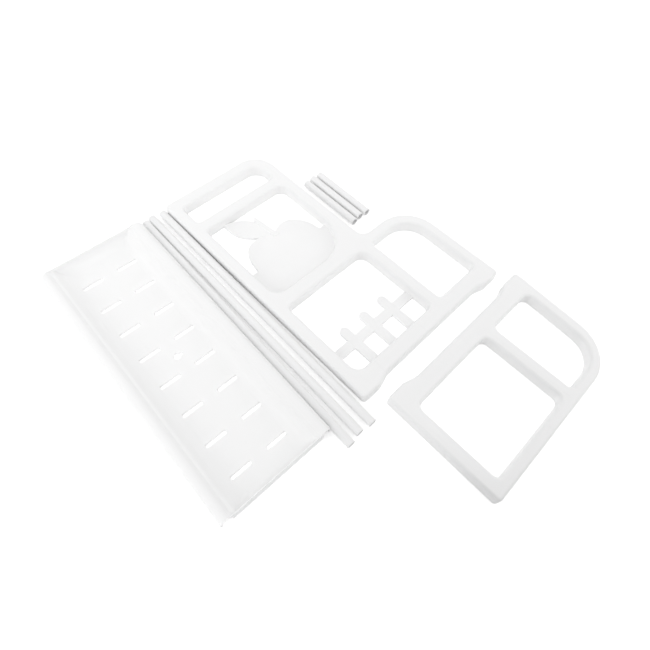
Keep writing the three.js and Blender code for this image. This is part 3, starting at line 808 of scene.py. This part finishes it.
tube_sizes = {
    "Diameter": TUBE_DIAMETER,
    "Wall": TUBE_WALL,
    "Rim Round": TUBE_RIM_ROUND,
    "Sides": TUBE_SIDES,
    "Finish": tube_coating,
}
for kind, length, lays in (
    ("long_tube", LONG_TUBE_LENGTH, LONG_TUBE_LAYS),
    ("short_tube", SHORT_TUBE_LENGTH, SHORT_TUBE_LAYS),
):
    for number, (turn, aside) in enumerate(lays, 1):
        node = f"{kind}_{number}"
        tube_mesh = grown(node, tube_tree, {**tube_sizes, "Length": length})
        tube_place = laid_flat(node, turn, TUBE_DIAMETER / 2, aside)
        finished(f"{node}_coated", tube_mesh, tube_place, tube_coating, node)

# Slotted tray
# A trough moulded in thin white plastic, with a lip across each end and drain slots in two columns.
# Both long sides step up over a ledge into a roll that hooks over a long tube.

TRAY_LENGTH = 355
TRAY_WIDTH = 132
TRAY_SHEET = 1.8
TRAY_TURN = -1.85
TRAY_FLAT = 31
TRAY_WALL_RUN = 3.5
WIDER_ROLL = 3
HOOK_MOUTH_HEIGHT = 4
LIP_HEIGHT = 16
LIP_FILLET = 12
LIP_FILLET_STEPS = 8
LIP_CREST = 0.85
LIP_CREST_STEPS = 10
LIP_THICKNESS = 1.75
# Powers that round the corners between the trough's sides and its lips: a higher one is tighter.
SOFT_CORNER = 3
TIGHT_CORNER = 7
HARD_CORNER = 12
CORNER_HARDENS_FROM = 4
CORNER_HARDENS_OVER = 9
LEVEL = 1e-6
FLOOR_ROW = 24

SLOT_LENGTH = 26
SLOT_WIDTH = 4.5
SLOT_ROWS = 8
SLOT_PITCH = 41
SLOT_COLUMN_GAP = 18.5
SLOT_GRID_OFFSET = 4
SLOT_EDGE_BREAK = 0.3
SLOT_DRAFT = 0.7
HOLE_DIAMETER = 8
HOLE_TAIL_WIDTH = 3.5
HOLE_TAIL_LENGTH = 7

# One corner is notched, named by its end and side. Each far corner has its side and its radius.
HOOK_NOTCH = (55.8, 59)
HOOK_NOTCH_DEPTH = 1.6
HOOK_END_SETBACK = 0.6
NOTCHED_CORNER = (1, -1)
FAR_CORNERS = ((-1, 15), (1, 9))
FAR_CORNER_STEPS = 12
NOTCH_OVERLAP = 0.1
CUT_MARGIN = 1
CUT_HEIGHTS = (1, 30)
END_WALL_REACH = 53.2
END_WALL_FOOT = 0.1
END_WALL_TOP = 13.5
ROLL_WALL_REACH = 58.7

TRAY_TONES = (0.92, 0.935, 0.945)
TRAY_ROUGHNESS = (0.46, 0.34)
TRAY_SKIN_SCALES = (7, 2600, 26)
TRAY_GRAIN_DEPTH = 0.00003
# The grey of the tray's end faces is painted shade: it darkens the lips' outer faces as shade would.
END_SHADE_GREY = 0.85
SQUARE_TO_END = 0.95

# Bends of the tray's side from the flat floor outwards: radius, slope in degrees at the end, steps.
FLOOR_BEND = (17, 52, 10)
LEDGE_BENDS = ((4.31, 8, 6), (5.16, 40, 6))
ROLL_BENDS = ((8.25, 0, 6), (7.4, -90, 10))


def tray_side():
    """Half a section's upper face, as (across, height, slope), from the middle to the hook's mouth."""
    points = [(0, TRAY_SHEET, 0), (TRAY_FLAT, TRAY_SHEET, 0)]

    def bend(radius, end, steps):
        """Adds an arc from the last point on, up to a slope of end degrees."""
        across, height, start = points[-1]
        end = math.radians(end)
        side = math.copysign(radius, end - start)
        for step in range(1, steps + 1):
            slope = start + (end - start) * step / steps
            over = side * (math.sin(slope) - math.sin(start))
            up = side * (math.cos(start) - math.cos(slope))
            points.append((across + over, height + up, slope))

    bend(*FLOOR_BEND)
    across, height, slope = points[-1]
    points.append((across + TRAY_WALL_RUN, height + TRAY_WALL_RUN * math.tan(slope), slope))
    for bend_sizes in (*LEDGE_BENDS, *ROLL_BENDS):
        bend(*bend_sizes)
    across, _, slope = points[-1]
    points.append((across, HOOK_MOUTH_HEIGHT, slope))
    return points


def lip_rows():
    """(along, height above the floor) from the lip's outer edge, over its top and down to the floor."""
    top = LIP_HEIGHT - TRAY_SHEET
    crest = arc((LIP_CREST, top - LIP_CREST), LIP_CREST, 180, 0, LIP_CREST_STEPS)
    foot = arc((LIP_THICKNESS + LIP_FILLET, LIP_FILLET), LIP_FILLET, 180, 270, LIP_FILLET_STEPS)
    return [*crest, *foot]


def tray_mesh():
    """The sheet with its end lips: two skins, closed round the ends and along the hooks' mouths."""
    side = tray_side()
    crest = max(height for _, height, _ in side)
    crest_at = next(across for across, height, _ in side if height == crest)
    columns = [(-across, height, -slope) for across, height, slope in side[:0:-1]]
    for across, height, slope in side:
        columns.append((across + (WIDER_ROLL if across > crest_at else 0), height, slope))
    near = lip_rows()
    last = near[-1][0]
    count = round((TRAY_LENGTH - 2 * last) / FLOOR_ROW)
    floor = [(last + (TRAY_LENGTH - 2 * last) * row / count, 0) for row in range(1, count)]
    rows = [*near, *floor, *((TRAY_LENGTH - along, rise) for along, rise in near[::-1])]

    def upper(rise, across, height):
        """The upper face's height, with a rounded corner where a side and a lip meet."""
        wall = height - TRAY_SHEET
        if abs(across) >= crest_at:
            return height
        if min(rise, wall) < LEVEL:
            return max(height, TRAY_SHEET + rise)
        share = min(1, max(0, (max(rise, wall) - CORNER_HARDENS_FROM) / CORNER_HARDENS_OVER))
        low_power = TIGHT_CORNER if across < 0 else SOFT_CORNER
        power = low_power + (HARD_CORNER - low_power) * share
        return TRAY_SHEET + (rise**power + wall**power) ** (1 / power)

    bm = bmesh.new()
    middle = TRAY_LENGTH / 2
    skins = []
    for sheet in (0, TRAY_SHEET):
        skin = []
        for along, rise in rows:
            row = []
            for across, height, slope in columns:
                top = upper(rise, across, height) if sheet == 0 else height
                place = (along - middle, across + sheet * math.sin(slope), top - sheet * math.cos(slope))
                row.append(bm.verts.new(place))
            skin.append(row)
        skins.append(skin)
    top, under = skins
    for i in range(len(rows) - 1):
        for j in range(len(columns) - 1):
            bm.faces.new((top[i][j], top[i + 1][j], top[i + 1][j + 1], top[i][j + 1]))
            bm.faces.new((under[i][j], under[i][j + 1], under[i + 1][j + 1], under[i + 1][j]))
        for j in (0, -1):
            bm.faces.new((top[i][j], under[i][j], under[i + 1][j], top[i + 1][j]))
    for i in (0, -1):
        for j in range(len(columns) - 1):
            bm.faces.new((top[i][j], top[i][j + 1], under[i][j + 1], under[i][j]))
    bmesh.ops.recalc_face_normals(bm, faces=bm.faces)
    mesh = bpy.data.meshes.new("tray")
    bm.to_mesh(mesh)
    bm.free()
    return mesh


def end_wall(end):
    """A plate across one end, under the ledges and, beside the tubes, up under the roll's rise."""
    half = TRAY_SHEET / 2
    tops = []
    for across, height, slope in tray_side():
        if END_WALL_REACH < across < ROLL_WALL_REACH:
            tops.append((across + half * math.sin(slope), height - half * math.cos(slope)))
    corners = [(-END_WALL_REACH, END_WALL_FOOT), (tops[-1][0], END_WALL_FOOT), *tops[::-1]]
    corners += [(END_WALL_REACH, END_WALL_TOP), (-END_WALL_REACH, END_WALL_TOP)]
    mesh = moulded("end wall", [[Vector(corner) for corner in corners]], [(0, 0), (0, LIP_THICKNESS)])
    start = TRAY_LENGTH / 2 - LIP_THICKNESS if end > 0 else -TRAY_LENGTH / 2
    mesh.transform(Matrix(((0, 0, 1, start), (1, 0, 0, 0), (0, 1, 0, 0), (0, 0, 0, 1))))
    return mesh


def drain_slots_tree():
    """Cuts a grid of slots, and one keyhole in its middle, out of a tray's floor."""
    inputs = {
        "Geometry": "Geometry",
        "Slot": "Object",
        "Keyhole": "Object",
        "Rows": "Int",
        "Row Pitch": "Float",
        "Column Pitch": "Float",
        "Offset": "Float",
        "Finish": "Material",
    }
    tree, size = new_tree("drain slots", "GeometryNodeTree", inputs, {"Geometry": "Geometry"})
    gaps = worked_out(tree, "SUBTRACT", size["Rows"], 1.0)
    length = worked_out(tree, "MULTIPLY", gaps, size["Row Pitch"])
    rows = {"Size X": length, "Vertices X": size["Rows"]}
    columns = {"Size Y": size["Column Pitch"], "Vertices Y": 2}
    grid = place_node(tree, "GeometryNodeMeshGrid", {**rows, **columns})
    slot = place_node(tree, "GeometryNodeObjectInfo", {"Object": size["Slot"]})
    keyhole = place_node(tree, "GeometryNodeObjectInfo", {"Object": size["Keyhole"]})
    copies = {"Points": grid.outputs["Mesh"], "Instance": slot.outputs["Geometry"]}
    slots = place_node(tree, "GeometryNodeInstanceOnPoints", copies)
    cutters = place_node(tree, "GeometryNodeJoinGeometry")
    tree.links.new(slots.outputs["Instances"], cutters.inputs[0])
    tree.links.new(keyhole.outputs["Geometry"], cutters.inputs[0])
    loose = place_node(tree, "GeometryNodeRealizeInstances", {"Geometry": cutters.outputs[0]})
    shift = place_node(tree, "ShaderNodeCombineXYZ", {"X": size["Offset"]})
    moved = {"Geometry": loose.outputs[0], "Translation": shift.outputs[0]}
    placed = place_node(tree, "GeometryNodeTransform", moved)
    cut = place_node(tree, "GeometryNodeMeshBoolean", operation="DIFFERENCE", solver="MANIFOLD")
    tree.links.new(size["Geometry"], cut.inputs["Mesh 1"])
    tree.links.new(placed.outputs[0], cut.inputs["Mesh 2"])
    whole = place_node(tree, "GeometryNodeRealizeInstances", {"Geometry": cut.outputs["Mesh"]})
    coat = {"Geometry": whole.outputs[0], "Material": size["Finish"]}
    done = place_node(tree, "GeometryNodeSetMaterial", coat)
    place_node(tree, "NodeGroupOutput", {"Geometry": done.outputs[0]})
    return tree


def floor_cutter(name, loop):
    """A cutter through the floor, drawn in towards its foot, that breaks the hole's upper edge."""
    ease = SLOT_EDGE_BREAK
    steps = [(SLOT_DRAFT, -ease), (0, TRAY_SHEET - ease), (-2 * ease, TRAY_SHEET + ease)]
    return shown(name, moulded(name, [loop], steps))


def block(low, high):
    """A box between two corners."""
    bm = bmesh.new()
    bmesh.ops.create_cube(bm, size=1)
    size = Vector(high) - Vector(low)
    bmesh.ops.transform(bm, matrix=Matrix.Diagonal((*size, 1)), verts=bm.verts)
    bmesh.ops.translate(bm, vec=(Vector(high) + Vector(low)) / 2, verts=bm.verts)
    mesh = bpy.data.meshes.new("block")
    bm.to_mesh(mesh)
    bm.free()
    return mesh


def slot_corners(along, across, y=0):
    """A slot's corners, with round ends."""
    radius = min(along, across) / 2 * ROUND_END_SHARE
    half_along, half_across = along / 2, across / 2
    return [
        (-half_along, y - half_across, radius),
        (half_along, y - half_across, radius),
        (half_along, y + half_across, radius),
        (-half_along, y + half_across, radius),
    ]


tray_plastic = moulded_plastic(
    "tray_plastic", TRAY_TONES, TRAY_ROUGHNESS, TRAY_SKIN_SCALES, TRAY_GRAIN_DEPTH
)
tray_tree = tray_plastic.node_tree
# The tray's base colour is mixed towards grey on its end faces. This grey is painted shade.
tray_colour = tray_tree.nodes["Principled BSDF"].inputs["Base Color"]
painted_end_shade = stored_value(tray_tree, "painted_end_shade")
dulled = mixed(tray_tree, painted_end_shade, tray_colour.links[0].from_socket, grey(END_SHADE_GREY))
tray_tree.links.new(dulled, tray_colour)
slot_cutter = floor_cutter("slot", rounded_loop(slot_corners(SLOT_WIDTH, SLOT_LENGTH)))
tail_corners = slot_corners(HOLE_TAIL_WIDTH, HOLE_TAIL_LENGTH, y=HOLE_TAIL_LENGTH / 2)
tail = floor_cutter("tail", rounded_loop(tail_corners))
hole = floor_cutter("hole", disc_loop(0, 0, HOLE_DIAMETER / 2))
keyhole = shown("keyhole", combined(hole.data, tail.data, "UNION"))
slot_sizes = {
    "Slot": slot_cutter,
    "Keyhole": keyhole,
    "Rows": SLOT_ROWS,
    "Row Pitch": SLOT_PITCH,
    "Column Pitch": SLOT_COLUMN_GAP + SLOT_LENGTH,
    "Offset": SLOT_GRID_OFFSET,
    "Finish": tray_plastic,
}
cutters = (slot_cutter, keyhole, tail, hole)
slotted = grown("slotted_tray_sheet", drain_slots_tree(), slot_sizes, mesh=tray_mesh(), helpers=cutters)
end_reach = TRAY_LENGTH / 2 + CUT_MARGIN
side_reach = TRAY_WIDTH / 2 + WIDER_ROLL + CUT_MARGIN
hook_setback = (HOOK_NOTCH[1] - NOTCH_OVERLAP, side_reach, HOOK_END_SETBACK)
for end in (-1, 1):
    slotted = combined(slotted, end_wall(end), "UNION")
    for side in (-1, 1):
        cuts = [hook_setback]
        if (end, side) == NOTCHED_CORNER:
            cuts.append((*HOOK_NOTCH, HOOK_NOTCH_DEPTH))
        for inner, outer, depth in cuts:
            x_range = sorted((end * end_reach, end * (TRAY_LENGTH / 2 - depth)))
            y_range = sorted((side * inner, side * outer))
            low, high = zip(x_range, y_range, CUT_HEIGHTS)
            slotted = combined(slotted, block(low, high), "DIFFERENCE")
for side, radius in FAR_CORNERS:
    half_width = TRAY_WIDTH / 2 + (WIDER_ROLL if side > 0 else 0)
    tip = Vector((-TRAY_LENGTH / 2 + HOOK_END_SETBACK, side * half_width))
    centre = tip + Vector((radius, -side * radius))
    places = arc(centre, radius, 180, 180 - side * 90, FAR_CORNER_STEPS)
    beyond = tip + Vector((-CUT_MARGIN, side * CUT_MARGIN))
    outside = [(centre.x, beyond.y), beyond, (beyond.x, centre.y)]
    corner_loop = [Vector(place) for place in (*places, *outside)]
    corner_cut = moulded("corner cut", [corner_loop], [(0, height) for height in CUT_HEIGHTS])
    slotted = combined(slotted, corner_cut, "DIFFERENCE")
# These are the end faces that take the painted shade: square to the tray's length and beyond the notch's
# depth.
end_shade_reach = TRAY_LENGTH / 2 - HOOK_NOTCH_DEPTH
end_shade_faces = []
for face in slotted.polygons:
    at_end = abs(face.normal.x) > SQUARE_TO_END and abs(face.center.x) > end_shade_reach
    end_shade_faces.append(float(at_end))
slotted.attributes.new("painted_end_shade", "FLOAT", "FACE").data.foreach_set("value", end_shade_faces)
tray_place = laid_flat("slotted_tray", TRAY_TURN, 0)
finished("slotted_tray_moulding", slotted, tray_place, tray_plastic, "slotted_tray")

# Floor, light and camera
# A plain white table in a white room. Its soft light is stronger low down and on the sides of the low
# panel and the tray, and fades out just above the horizon.
# The camera stands near the low panel and looks down across the layout, as the photograph does.

FLOOR_SIZE = 6
FLOOR_DROP = 0.2
FLOOR_BOUNCE = 0.94
FLOOR_SHADE = 0.9
FLOOR_GLOW = 0.42
ROOM_LIGHT = 1.668
ROOM_LEAN = (0.4, -0.22, -0.77)
HORIZON = (0.05, 0.25)
FLAG_PLACE = (0.62, -0.16, 0.1)
FLAG_WIDTH = 0.6
FLAG_HEIGHT = 1.1
CARD_PLACE = (0.3, -0.12, 0.02)
CARD_WIDTH = 0.12
CARD_HEIGHT = 0.07
SHEET_GREY = 0.03
CAMERA_PLACE = (172.88, -195.94, 453.7)
CAMERA_HEADING = 40.79
CAMERA_TILT = 29.56
CAMERA_ROLL = 5.74
FOCAL_PIXELS = 448
IMAGE_PIXELS = 650


def seen_directly(tree):
    """1 for rays that show a backdrop to the camera, straight or by gloss or glass, and 0 for light."""
    path = place_node(tree, "ShaderNodeLightPath").outputs
    straight_or_gloss = worked_out(tree, "MAXIMUM", path["Is Camera Ray"], path["Is Glossy Ray"])
    return worked_out(tree, "MAXIMUM", straight_or_gloss, path["Is Transmission Ray"])


floor_mesh = bpy.data.meshes.new("floor")
edge = FLOOR_SIZE / 2
floor_drop = -FLOOR_DROP * MM
floor_corners = [(-edge, -edge), (edge, -edge), (edge, edge), (-edge, edge)]
floor_mesh.from_pydata([(*corner, floor_drop) for corner in floor_corners], [], [(0, 1, 2, 3)])
floor_paper = bpy.data.materials.new("floor_paper")
floor_paper.use_nodes = True
paper_tree = floor_paper.node_tree
paper_tree.nodes.clear()
plain = place_node(paper_tree, "ShaderNodeBsdfDiffuse", {"Color": grey(FLOOR_BOUNCE)})
faint = place_node(paper_tree, "ShaderNodeBsdfDiffuse", {"Color": grey(FLOOR_SHADE)})
glow = place_node(paper_tree, "ShaderNodeEmission", {"Color": grey(1), "Strength": FLOOR_GLOW})
lit = place_node(paper_tree, "ShaderNodeAddShader", {0: faint.outputs[0], 1: glow.outputs[0]})
paper = {0: seen_directly(paper_tree), 1: plain.outputs[0], 2: lit.outputs[0]}
paper_mix = place_node(paper_tree, "ShaderNodeMixShader", paper)
place_node(paper_tree, "ShaderNodeOutputMaterial", {"Surface": paper_mix.outputs[0]})
floor_mesh.materials.append(floor_paper)
shown("floor", floor_mesh)

world = bpy.data.worlds.new("white_room")
world.use_nodes = True
room_tree = world.node_tree
way = place_node(room_tree, "ShaderNodeTexCoord").outputs["Generated"]
lean = place_node(room_tree, "ShaderNodeVectorMath", {0: way, 1: ROOM_LEAN}, operation="DOT_PRODUCT")
full = worked_out(room_tree, "ADD", lean.outputs["Value"], ROOM_LIGHT)
height = place_node(room_tree, "ShaderNodeSeparateXYZ", {0: way}).outputs["Z"]
rise = {"Value": height, "From Min": HORIZON[0], "From Max": HORIZON[1]}
above = place_node(room_tree, "ShaderNodeMapRange", rise).outputs[0]
light = worked_out(room_tree, "MULTIPLY", full, above)
strength = mixed(room_tree, seen_directly(room_tree), light, 1.0)
room_tree.links.new(strength, room_tree.nodes["Background"].inputs["Strength"])
room_tree.nodes["Background"].inputs["Color"].default_value = grey(1)
bpy.context.scene.world = world

camera_data = bpy.data.cameras.new("photo_camera")
camera_data.lens = camera_data.sensor_width * FOCAL_PIXELS / IMAGE_PIXELS
camera = shown("photo_camera", camera_data)
camera.location = Vector(CAMERA_PLACE) * MM
turns = [(CAMERA_HEADING, "Z"), (CAMERA_TILT, "X"), (CAMERA_ROLL, "Z")]
heading, tilt, roll = (Matrix.Rotation(math.radians(angle), 3, axis) for angle, axis in turns)
camera.rotation_euler = (heading @ tilt @ roll).to_euler()
bpy.context.scene.camera = camera

# A dark flag stands behind the camera, square to its heading, and keeps light off the near pieces.
# A small dark card stands across the table from the low panel's near corner, and shades its long wall.
sheet_cloth = bpy.data.materials.new("flag_cloth")
sheet_cloth.use_nodes = True
sheet_cloth.node_tree.nodes["Principled BSDF"].inputs["Base Color"].default_value = grey(SHEET_GREY)


def dark_sheet(name, foot, side, height):
    """An upright dark sheet that the camera doesn't see, from its foot's middle and half its width."""
    foot = Vector(foot)
    rise = Vector((0, 0, height))
    mesh = bpy.data.meshes.new(name)
    points = [foot - side, foot + side, foot + side + rise, foot - side + rise]
    mesh.from_pydata(points, [], [(0, 1, 2, 3)])
    mesh.materials.append(sheet_cloth)
    sheet = shown(name, mesh)
    sheet.visible_camera = False


dark_sheet("flag", FLAG_PLACE, heading @ Vector((FLAG_WIDTH / 2, 0, 0)), FLAG_HEIGHT)
dark_sheet("card", CARD_PLACE, Vector((CARD_WIDTH / 2, 0, 0)), CARD_HEIGHT)
bpy.context.scene.view_settings.view_transform = "Standard"
